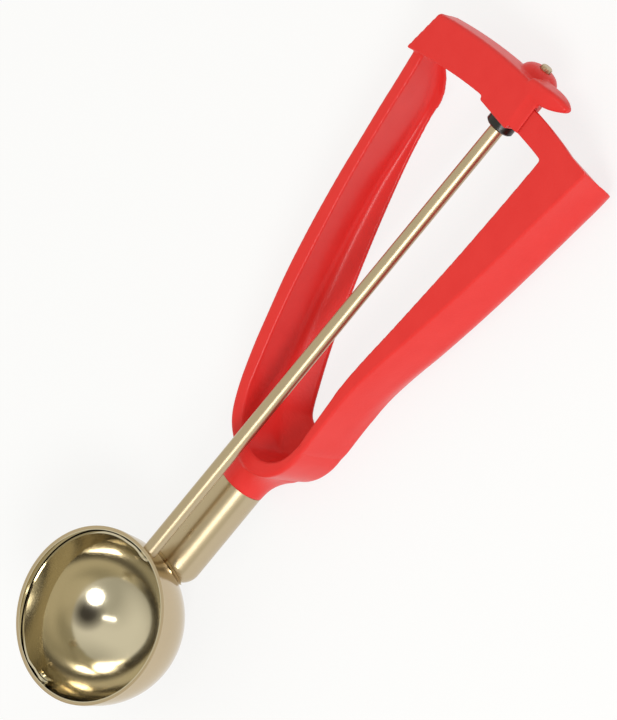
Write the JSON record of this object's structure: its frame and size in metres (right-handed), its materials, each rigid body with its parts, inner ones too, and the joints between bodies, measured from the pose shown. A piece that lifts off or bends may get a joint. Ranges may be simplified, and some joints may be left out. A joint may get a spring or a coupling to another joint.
{
  "type": "lever ice cream scoop",
  "caption": "Squeeze-lever ice cream scoop: hemispherical steel bowl with a rack-driven sweeper blade and a sprung red plastic handle.",
  "frame": {"origin": "on the flat back of the handle's root, below the rod's axis", "axes": "+X along the handle from the bowl to the head, +Y towards the fixed arm, +Z out of the bowl's opening side, the tool lying on the back of its handle"},
  "size_m": [0.2391, 0.0743, 0.0356],
  "materials": {
    "steel": "polished stainless steel, warm reflections",
    "red_plastic": "satin moulded plastic",
    "black_plastic": "satin",
    "white_plastic": "satin"
  },
  "bodies": {
    "handle": {"bowl": "steel", "ferrule": "steel", "ferrule_weld": "steel", "handle_frame": "red_plastic", "rod_bushing": "black_plastic", "pivot_rivet": "steel", "pivot_washer": "steel"},
    "lever": {"squeeze_lever": "red_plastic"},
    "sweeper": {"rod": "steel", "pinion": "white_plastic", "sweeper_blade": "steel", "blade_washer": "steel"}
  },
  "joints": [
    {"name": "squeeze", "type": "hinge", "parent": "handle", "child": "lever", "pos_m": [0.022, -0.015, 0.01], "axis": [0, 0, 1], "range_deg": [0, 4.58], "stiffness_Nm_per_rad": 12},
    {"name": "rod_turn", "type": "hinge", "parent": "handle", "child": "sweeper", "pos_m": [-0.066, 0, 0.0303], "axis": [-0.9962, 0, 0.0872], "range_deg": [0, 165]}
  ],
  "couplings": [
    {"joint": "rod_turn", "follows": "squeeze", "ratio": 36}
  ]
}
